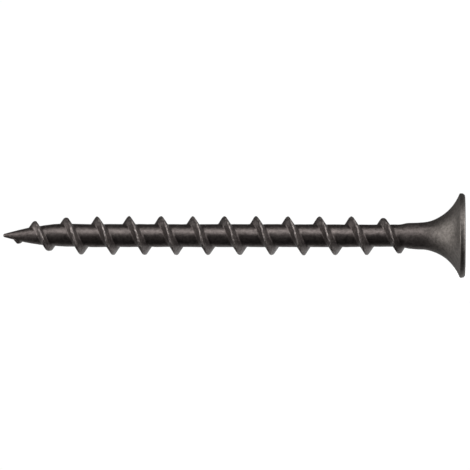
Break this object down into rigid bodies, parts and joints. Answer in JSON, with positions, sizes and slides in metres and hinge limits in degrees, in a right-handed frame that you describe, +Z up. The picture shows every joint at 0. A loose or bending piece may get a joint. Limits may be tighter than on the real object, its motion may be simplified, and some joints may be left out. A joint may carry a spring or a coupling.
{
  "type": "bugle-head wood screw",
  "caption": "Black steel screw with a flared bugle head, cross recess, coarse right-hand thread and sharp point, for fixing board or timber.",
  "frame": {"origin": "centre of the flat face of the head, on the screw's axis", "axes": "+X along the screw's axis, out of the head; the point is towards -X; +Z up"},
  "size_m": [0.045, 0.0082, 0.0082],
  "materials": {
    "steel": "black phosphate, satin"
  },
  "bodies": {
    "root": {"screw": "steel"}
  },
  "joints": []
}
